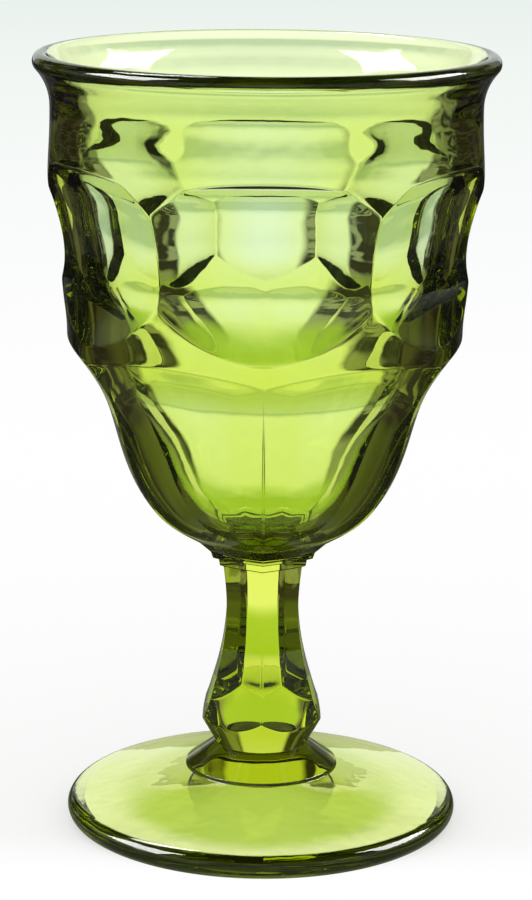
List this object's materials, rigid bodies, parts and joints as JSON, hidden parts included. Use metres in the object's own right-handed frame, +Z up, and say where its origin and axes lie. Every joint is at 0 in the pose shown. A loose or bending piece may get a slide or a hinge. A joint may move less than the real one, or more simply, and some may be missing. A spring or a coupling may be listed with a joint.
{
  "type": "water goblet",
  "caption": "Footed pressed-glass drinking goblet with a round flaring lip, a band of dished thumbprint panels, a fluted lower bowl, a stepped collar, a faceted stem and a domed foot.",
  "frame": {"origin": "centre of the circle that the foot stands on, at table level", "axes": "+Z up along the goblet's own axis, -Y towards the viewer, with a corner of the stem and the middle of a thumbprint at the front"},
  "size_m": [0.0876, 0.0876, 0.15],
  "materials": {
    "glass": "fire-polished yellow-green pressed glass, clear through, with a faint waviness from the mould"
  },
  "bodies": {
    "root": {"bowl": "glass", "collar": "glass", "stem": "glass", "foot": "glass"}
  },
  "joints": []
}
